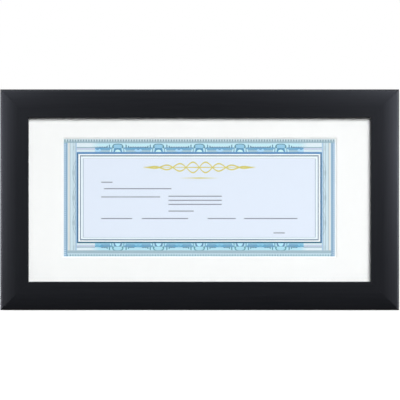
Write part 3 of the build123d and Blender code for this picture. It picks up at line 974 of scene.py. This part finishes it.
def moulding(name, half_length, turn, edge, lacquer, wood):
    """One length of moulding: its flat face swept round to the rabbet, mitred and slit for the V-nails."""
    flat_low = RAIL_WIDTH - FACE_FLAT
    flat_high = RAIL_WIDTH - SIGHT_EDGE_RADIUS
    land = PANE_EDGE - PANE_CLEARANCE
    crown = (flat_low**2 + FACE_CROWN**2) / (2 * FACE_CROWN)
    shoulder_turn = asin((flat_low - SHOULDER_RADIUS) / (crown - SHOULDER_RADIUS))
    shoulder_y = FRONT + crown - (crown - SHOULDER_RADIUS) * cos(shoulder_turn)
    bpy.ops.mesh.primitive_plane_add(
        size=1, location=(0, FRONT, (flat_low + flat_high) / 2), rotation=(pi / 2, 0, 0)
    )
    bpy.context.active_object.scale = (2 * half_length, flat_high - flat_low, 1)
    rail = added(name)
    with editing(rail):
        pick_edges(rail, lambda point: point.z < flat_low + NEAR)
        round_edge(CROWN_STEPS, shoulder_turn, FRONT + crown, flat_low)
        round_edge(ROUND_STEPS, pi / 2 - shoulder_turn, shoulder_y, SHOULDER_RADIUS)
        extrude_edge(0, BACK - BACK_EDGE_RADIUS - shoulder_y, 0)
        round_edge(ROUND_STEPS, pi / 2, BACK - BACK_EDGE_RADIUS, BACK_EDGE_RADIUS)
        extrude_edge(0, 0, land - BACK_EDGE_RADIUS)
        extrude_edge(0, GLASS_FRONT - BACK, 0)
        extrude_edge(0, 0, RAIL_WIDTH - land)
        extrude_edge(0, FRONT + SIGHT_EDGE_RADIUS - GLASS_FRONT, 0)
        round_edge(ROUND_STEPS, pi / 2, FRONT + SIGHT_EDGE_RADIUS, flat_high)
        close_up()
        for end in (-1, 1):
            bpy.ops.mesh.select_all(action="SELECT")
            bpy.ops.mesh.bisect(
                plane_co=(end * half_length, 0, 0), plane_no=(end, 0, 1), use_fill=True, clear_outer=True
            )
        pick_faces(rail, lambda middle, normal: abs(normal.x) > MITRE_FACING)
        bpy.ops.mesh.region_to_loop()
        bpy.ops.mesh.bevel(offset=MITRE_ARRIS, offset_type="OFFSET", segments=1)
        close_up()
    settle(rail, turn, edge)
    carve(rail, v_nail_cutter())
    smooth(rail)
    rail.data.materials.append(lacquer)
    rail.data.materials.append(wood)
    inner = Vector((HALF_WIDTH, MIDDLE)) - Vector((land, land))
    for face in rail.data.polygons:
        raised = abs(face.center.x) < inner.x + NEAR and abs(face.center.z - MIDDLE) < inner.y + NEAR
        bare = face.center.y > BACK - NEAR or (raised and face.center.y > GLASS_FRONT + NEAR)
        face.material_index = int(bare)
    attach(rail, "frame")
    return rail


# Hardware on the back


def fastener(name, head, seat, top, shank, end, dome, tip):
    """A screw, nail or rivet along Y: a head with a rounded rim, and a shank, pointed where it has a tip."""
    bpy.ops.mesh.primitive_cylinder_add(
        vertices=FASTENER_SIDES,
        radius=head,
        depth=top,
        location=(0, seat + top / 2, 0),
        rotation=(-pi / 2, 0, 0),
    )
    piece = added(name)
    with editing(piece):
        pick_faces(piece, lambda middle, normal: normal.y > FACING)
        bpy.ops.mesh.region_to_loop()
        bpy.ops.mesh.bevel(offset=dome, segments=ROUND_STEPS)
        pick_faces(piece, lambda middle, normal: normal.y < -FACING)
        bpy.ops.mesh.inset(thickness=head - shank)
        extrude_faces(0, end + tip - seat, 0)
        if tip:
            extrude_faces(0, -tip, 0)
            bpy.ops.transform.resize(value=(POINT_SHARE, 1, POINT_SHARE), center_override=(0, end, 0))
        close_up()
    return piece


def cross_recess(rear):
    """A tapered cross, pressed into a screw's head as far as RECESS_DEPTH."""
    bpy.ops.mesh.primitive_cube_add(size=1, location=(0, rear, 0))
    bpy.context.active_object.scale = (RECESS_WIDTH, 2 * RECESS_DEPTH, RECESS_WIDTH)
    cutter = added("cross_recess")
    with editing(cutter):
        pick_faces(cutter, lambda middle, normal: abs(normal.y) < 1 - FACING)
        bpy.ops.mesh.extrude_faces_move(TRANSFORM_OT_shrink_fatten={"value": RECESS_ARM})
        pick_points(cutter, lambda point: point.y < rear)
        bpy.ops.transform.resize(value=(RECESS_TAPER, 1, RECESS_TAPER), center_override=(0, rear, 0))
        close_up()
    return cutter


def dimple(piece, rear):
    """Sinks the middle of a rivet's head, as the setting tool leaves it."""
    with editing(piece):
        pick_faces(piece, lambda middle, normal: normal.y > FACING and middle.y > rear - NEAR)
        bpy.ops.mesh.inset(thickness=DIMPLE_RIM)
        extrude_faces(0, -DIMPLE_DEPTH, 0)
        bpy.ops.transform.resize(value=(DIMPLE_TAPER, 1, DIMPLE_TAPER), center_override=(0, rear, 0))


def set_out(name, node, body, pattern, spots, material):
    """Copies a fastener to its places, each turned a little further, as one piece for its node."""
    copies = []
    for number, spot in enumerate(spots):
        copy = bpy.data.objects.new(name, pattern.data.copy())
        bpy.context.scene.collection.objects.link(copy)
        settle(copy, number * FASTENER_TURN, spot)
        copies.append(copy)
    bpy.data.objects.remove(pattern)
    pick(copies[0])
    for copy in copies:
        copy.select_set(True)
    bpy.ops.object.join()
    finish_steel(copies[0], node, body, material)


def finish_steel(piece, node, body, material):
    """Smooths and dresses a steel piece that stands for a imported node."""
    smooth(piece)
    clad(piece, material)
    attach(piece, body)
    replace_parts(piece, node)


def pair(node):
    """Places, at Y 0, of a node's two equal fasteners, and the radius of their heads."""
    low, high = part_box(node)
    radius = (high.z - low.z) / 2
    return [Vector((x, 0, low.z + radius)) for x in (low.x + radius, high.x - radius)], radius


def button_screws(material):
    """Pan-head screws with a cross recess, one at each button's pivot."""
    low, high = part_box("turn_button_screws")
    screw = fastener(
        "pan_head_screw",
        head=SCREW_HEAD_RADIUS,
        seat=high.y - SCREW_HEAD_HEIGHT,
        top=SCREW_HEAD_HEIGHT,
        shank=SCREW_SHANK_RADIUS,
        end=low.y,
        dome=SCREW_DOME,
        tip=SCREW_TIP,
    )
    carve(screw, cross_recess(high.y))
    spots = [Vector((pivot.x, 0, pivot.z)) for pivot in PIVOTS.values()]
    set_out("pan_head_screws", "turn_button_screws", "frame", screw, spots, material)


def domed_nails(material):
    """Round-headed nails through the hanger's feet."""
    low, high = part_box("hanger_nails")
    spots, head = pair("hanger_nails")
    seat = high.y - NAIL_HEAD_HEIGHT
    nail = fastener("nail", head, seat, NAIL_HEAD_HEIGHT, NAIL_SHANK_RADIUS, low.y, NAIL_DOME, tip=0)
    set_out("round_nails", "hanger_nails", "frame", nail, spots, material)


def hinge_rivets(node, body, material):
    """Domed rivets through one leaf of the easel's hinge."""
    low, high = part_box(node)
    spots, head = pair(node)
    seat = high.y - RIVET_HEAD_HEIGHT
    rivet = fastener("rivet", head, seat, RIVET_HEAD_HEIGHT, RIVET_SHANK_RADIUS, low.y, RIVET_DOME, tip=0)
    dimple(rivet, high.y)
    set_out(f"{node}_domed", node, body, rivet, spots, material)


def rib(front, start, end):
    """A turn button's pressed rib: a bar with sloping sides, softened along its top."""
    bpy.ops.mesh.primitive_cube_add(size=1, location=((start + end) / 2, front + RIB_HEIGHT / 2, 0))
    bpy.context.active_object.scale = (end - start, RIB_HEIGHT, RIB_WIDTH)
    bar = added("rib")
    slope = 1 - 2 * RIB_HEIGHT / RIB_WIDTH
    lengthwise = 1 - 2 * RIB_HEIGHT / (end - start)
    with editing(bar):
        pick_faces(bar, lambda middle, normal: normal.y > FACING)
        bpy.ops.transform.resize(value=(lengthwise, 1, slope), center_override=((start + end) / 2, front, 0))
        bpy.ops.mesh.region_to_loop()
        bpy.ops.mesh.bevel(offset=RIB_SOFTNESS, segments=RIM_STEPS)
        pick_faces(bar, lambda middle, normal: normal.y < -FACING)
        extrude_faces(0, -RIB_ROOT, 0)
        close_up()
    return bar


def turn_button(node, pivot, material):
    """A pressed steel tongue: a disc half drawn out to the tip, with a rib, a bore and soft rims."""
    low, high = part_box(node)
    middle = (low + high) / 2
    away = Vector((middle.x - pivot.x, 0, middle.z - pivot.z)).normalized()
    long_side, hub_width = sorted((high.x - low.x, high.z - low.z), reverse=True)
    hub = hub_width / 2
    reach = long_side - hub - BUTTON_TIP_RADIUS
    front = low.y
    rear = high.y - RIB_HEIGHT
    tangent_x = hub * (hub - BUTTON_TIP_RADIUS) / reach
    bpy.ops.mesh.primitive_circle_add(
        vertices=BUTTON_SIDES, radius=hub, fill_type="NGON", location=(0, front, 0), rotation=(pi / 2, 0, 0)
    )
    button = added(f"{node}_pressed")
    with editing(button):
        pick_points(button, lambda point: point.x > tangent_x)
        share = BUTTON_TIP_RADIUS / hub
        bpy.ops.transform.resize(value=(share, 1, share), center_override=(0, front, 0))
        bpy.ops.transform.translate(value=(reach, 0, 0))
        bpy.ops.mesh.select_all(action="SELECT")
        extrude_faces(0, rear - front, 0)
        close_up()
        pick_sharp_edges(button)
        bpy.ops.mesh.bevel(offset=BUTTON_RIM, segments=RIM_STEPS)
        close_up()
    rib_start = SCREW_HEAD_RADIUS + RIB_GAP
    rib_end = reach + RIB_WIDTH / 2
    carve(button, rib(rear, rib_start, rib_end), "UNION")
    carve(button, rib(front, rib_start, rib_end))
    bpy.ops.mesh.primitive_cylinder_add(
        vertices=FASTENER_SIDES,
        radius=BUTTON_BORE,
        depth=BORE_CUTTER_PLATES * (rear - front),
        rotation=(pi / 2, 0, 0),
    )
    bore = added("bore")
    settle(bore, 0, (0, (front + rear) / 2, 0))
    carve(button, bore)
    settle(button, -atan2(away.z, away.x), (pivot.x, 0, pivot.z))
    finish_steel(button, node, node, material)


def softened(node, body, edge, material):
    """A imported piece's own shape with its sharp edges broken."""
    piece = copied(f"{node}_softened", node)
    with editing(piece):
        bpy.ops.mesh.select_all(action="SELECT")
        bpy.ops.mesh.dissolve_limited(angle_limit=FLAT_ANGLE)
        pick_sharp_edges(piece)
        bpy.ops.mesh.bevel(offset=edge, segments=EDGE_STEPS)
        close_up()
    smooth(piece)
    clad(piece, material)
    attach(piece, body)
    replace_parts(piece, node)


# Studio


def seen_directly(tree):
    """1 for rays from the camera, from gloss and through glass, and 0 for light that surfaces spread."""
    light_path = tree.nodes.new("ShaderNodeLightPath")
    kinds = ("Is Camera Ray", "Is Glossy Ray", "Is Transmission Ray")
    return most(*(Formula(tree, light_path.outputs[kind]) for kind in kinds))


def pale_floor():
    """Floor that keeps the frame's shadow, fades to white around it and throws little light back."""
    bpy.ops.mesh.primitive_plane_add(size=FLOOR_SIDE, location=(0, 0, 0))
    floor = added("floor")
    made, tree, shader = new_material("pale_floor")
    fill(shader, "Base Color", (0.95, 0.95, 0.95, 1))
    fill(shader, "Roughness", 1.0)
    fill(shader, "Specular IOR Level", 0.0)
    white = tree.nodes.new("ShaderNodeEmission")
    reach = tree.nodes.new("ShaderNodeVectorMath")
    reach.operation = "LENGTH"
    fill(reach, 0, placed(tree))
    away = Formula(tree, reach.outputs["Value"]) * FLOOR_FADE
    share = least(most(away, FLOOR_WHITE), 1.0)
    seen = layered(tree, share, shader.outputs["BSDF"], white.outputs["Emission"])
    bounce = tree.nodes.new("ShaderNodeBsdfDiffuse")
    fill(bounce, "Color", (0.08, 0.08, 0.08, 1))
    look = layered(tree, seen_directly(tree), bounce.outputs["BSDF"], seen)
    fill(tree.nodes["Material Output"], "Surface", look)
    floor.data.materials.append(made)


def surroundings():
    """White all round where it is seen directly, and a faint light elsewhere."""
    world = bpy.data.worlds.new("surroundings")
    bpy.context.scene.world = world
    world.use_nodes = True
    background = world.node_tree.nodes["Background"]
    fill(background, "Color", (1, 1, 1, 1))
    fill(background, "Strength", seen_directly(world.node_tree) * (1 - WORLD_LIGHT) + WORLD_LIGHT)


def softbox(name, place, width, height, power):
    """A soft lamp aimed at the frame's middle."""
    lamp = bpy.data.lights.new(name, "AREA")
    lamp.shape = "RECTANGLE"
    lamp.size = width
    lamp.size_y = height
    lamp.energy = power
    obj = bpy.data.objects.new(name, lamp)
    bpy.context.scene.collection.objects.link(obj)
    obj.location = place
    aim = Vector((0, 0, MIDDLE)) - obj.location
    obj.rotation_euler = aim.to_track_quat("-Z", "Y").to_euler()
    obj.visible_camera = False
    return obj


def lamps():
    """Three lamps that light the frame, and panels that show only in its gloss."""
    key = softbox("key", (0.6, -3.0, MIDDLE + 0.74), width=1.0, height=1.0, power=98.0)
    key.visible_glossy = False
    softbox("overhead", (0, 0.1, 1.7), width=0.9, height=0.9, power=30.0)
    softbox("rear", (-0.9, 1.6, MIDDLE + 0.9), width=0.8, height=0.8, power=20.0)
    panels = (
        softbox("left_panel", (-0.32, -0.16, 0.115), width=0.07, height=0.07, power=2.5),
        softbox("right_panel", (0.28, -0.14, 0.125), width=0.05, height=0.05, power=1.9),
        softbox("left_edge", (-0.5, -0.004, MIDDLE - 0.02), width=0.02, height=0.08, power=8.0),
        softbox("right_edge", (0.5, -0.004, MIDDLE), width=0.02, height=0.08, power=8.0),
        softbox("upper_panel", (0, -0.6, MIDDLE + 1.0), width=0.7, height=0.5, power=8.0),
        softbox("left_corner", (-0.18, -0.075, FRAME_HEIGHT + 0.065), width=0.06, height=0.06, power=0.57),
        softbox("right_corner", (0.20, -0.11, FRAME_HEIGHT + 0.10), width=0.08, height=0.08, power=1.8),
    )
    for panel in panels:
        panel.visible_diffuse = False


def viewpoint():
    """The photograph's camera, straight in front of the frame."""
    pixel = FRAME_WIDTH / (PHOTO_RIGHT - PHOTO_LEFT)
    camera = bpy.data.objects.new("camera", bpy.data.cameras.new("camera"))
    bpy.context.scene.collection.objects.link(camera)
    camera.location = (
        (PHOTO_SIDE / 2 - (PHOTO_LEFT + PHOTO_RIGHT) / 2) * pixel,
        FRONT + FACE_CROWN + SHOULDER_RADIUS / 2 - CAMERA_DISTANCE,
        MIDDLE - (PHOTO_SIDE / 2 - PHOTO_MIDDLE_Y) * pixel,
    )
    camera.rotation_euler = (pi / 2, 0, 0)
    camera.data.sensor_width = SENSOR
    camera.data.lens = SENSOR * CAMERA_DISTANCE / (PHOTO_SIDE * pixel)
    camera.data.clip_end = CAMERA_REACH
    bpy.context.scene.camera = camera
    bpy.context.scene.view_settings.view_transform = "Standard"


# The frame, piece by piece


def dress(material, node):
    """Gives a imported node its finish."""
    clad(NODES[node], material)


lacquer_x = black_lacquer("black_lacquer_along", ALONG_X)
lacquer_z = black_lacquer("black_lacquer_upright", ALONG_Z)
wood_x = bare_wood("bare_wood_along", ALONG_X)
wood_z = bare_wood("bare_wood_upright", ALONG_Z)
# Half length, turn and outer edge of each rail, and its two finishes
RAILS = {
    "bottom_rail": (HALF_WIDTH, 0, Vector((0, 0, 0)), lacquer_x, wood_x),
    "top_rail": (HALF_WIDTH, pi, Vector((0, 0, FRAME_HEIGHT)), lacquer_x, wood_x),
    "left_stile": (MIDDLE, pi / 2, Vector((-HALF_WIDTH, 0, MIDDLE)), lacquer_z, wood_z),
    "right_stile": (MIDDLE, -pi / 2, Vector((HALF_WIDTH, 0, MIDDLE)), lacquer_z, wood_z),
}
for node, settings in RAILS.items():
    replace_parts(moulding(f"{node}_moulding", *settings), node)

dress(clear_sheet(), "glazing")
dress(mat_paper(), "mat_board")
dress(printed_sheet(), "certificate")
dress(brown_card(), "filler_card")
board = hardboard()
dress(board, "back_panel")
softened("easel_leg", "easel", BOARD_EDGE, board)

steel = nickel()
dress(steel, "corner_v_nails")
button_screws(steel)
for node, pivot in PIVOTS.items():
    turn_button(node, pivot, steel)
domed_nails(steel)
hinge_rivets("easel_panel_rivets", "frame", steel)
hinge_rivets("easel_leg_rivets", "easel", steel)
for node, body in STAMPED.items():
    softened(node, body, STEEL_EDGE, steel)

pale_floor()
surroundings()
lamps()
viewpoint()
